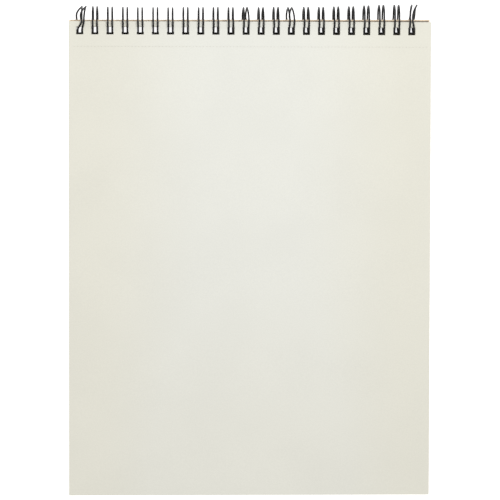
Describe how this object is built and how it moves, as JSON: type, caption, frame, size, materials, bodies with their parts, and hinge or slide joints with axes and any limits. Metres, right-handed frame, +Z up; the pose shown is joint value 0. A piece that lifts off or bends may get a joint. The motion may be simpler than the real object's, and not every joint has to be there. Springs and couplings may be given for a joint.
{
  "type": "sketchbook",
  "caption": "Top-bound sketchbook of punched blank leaves between a chipboard back and a card cover, on a closed twin-loop wire, its front cover folded behind.",
  "frame": {"origin": "on the table under the middle of the closed pad", "axes": "+X along the wire, to the right of someone drawing on the pad; +Y to the bound edge; +Z up out of the open page"},
  "size_m": [0.2042, 0.2757, 0.0152],
  "materials": {
    "paper": "matte",
    "chipboard": "matte",
    "cover_card": "matte",
    "black_wire": "satin"
  },
  "bodies": {
    "bound_block": {"wire_binding": "black_wire", "leaf_02": "paper", "leaf_03": "paper", "leaf_04": "paper", "leaf_05": "paper", "leaf_06": "paper", "leaf_07": "paper", "leaf_08": "paper", "leaf_09": "paper", "leaf_10": "paper", "leaf_11": "paper", "leaf_12": "paper", "leaf_13": "paper", "leaf_14": "paper", "leaf_15": "paper", "leaf_16": "paper", "leaf_17": "paper", "leaf_18": "paper", "leaf_19": "paper", "leaf_20": "paper", "leaf_21": "paper", "leaf_22": "paper", "leaf_23": "paper", "leaf_24": "paper", "leaf_25": "paper", "leaf_26": "paper", "leaf_27": "paper", "leaf_28": "paper", "leaf_29": "paper", "leaf_30": "paper", "leaf_31": "paper", "leaf_32": "paper", "leaf_33": "paper", "leaf_34": "paper", "leaf_35": "paper", "leaf_36": "paper", "leaf_37": "paper", "leaf_38": "paper", "leaf_39": "paper", "leaf_40": "paper", "leaf_41": "paper", "leaf_42": "paper", "leaf_43": "paper", "leaf_44": "paper", "leaf_45": "paper", "leaf_46": "paper", "leaf_47": "paper", "leaf_48": "paper", "leaf_49": "paper", "leaf_50": "paper", "back_board": "chipboard"},
    "open_leaf_stub": {"leaf_01_stub": "paper"},
    "open_leaf": {"leaf_01_sheet": "paper"},
    "folded_cover": {"front_cover": "cover_card"}
  },
  "joints": [
    {"name": "leaf_turn", "type": "hinge", "parent": "bound_block", "child": "open_leaf_stub", "pos_m": [-0.00237, 0.12987, 0.0076], "axis": [-1, -0.0021, 0], "range_deg": [0, 170]},
    {"name": "leaf_fold", "type": "hinge", "parent": "open_leaf_stub", "child": "open_leaf", "pos_m": [-0.00002, 0.11513, 0.01203], "axis": [-1, 0.0031, 0], "range_deg": [0, 165]},
    {"name": "cover_turn", "type": "hinge", "parent": "bound_block", "child": "folded_cover", "pos_m": [-0.00237, 0.12987, 0.0076], "axis": [1, 0.0021, 0], "range_deg": [0, 190]}
  ]
}
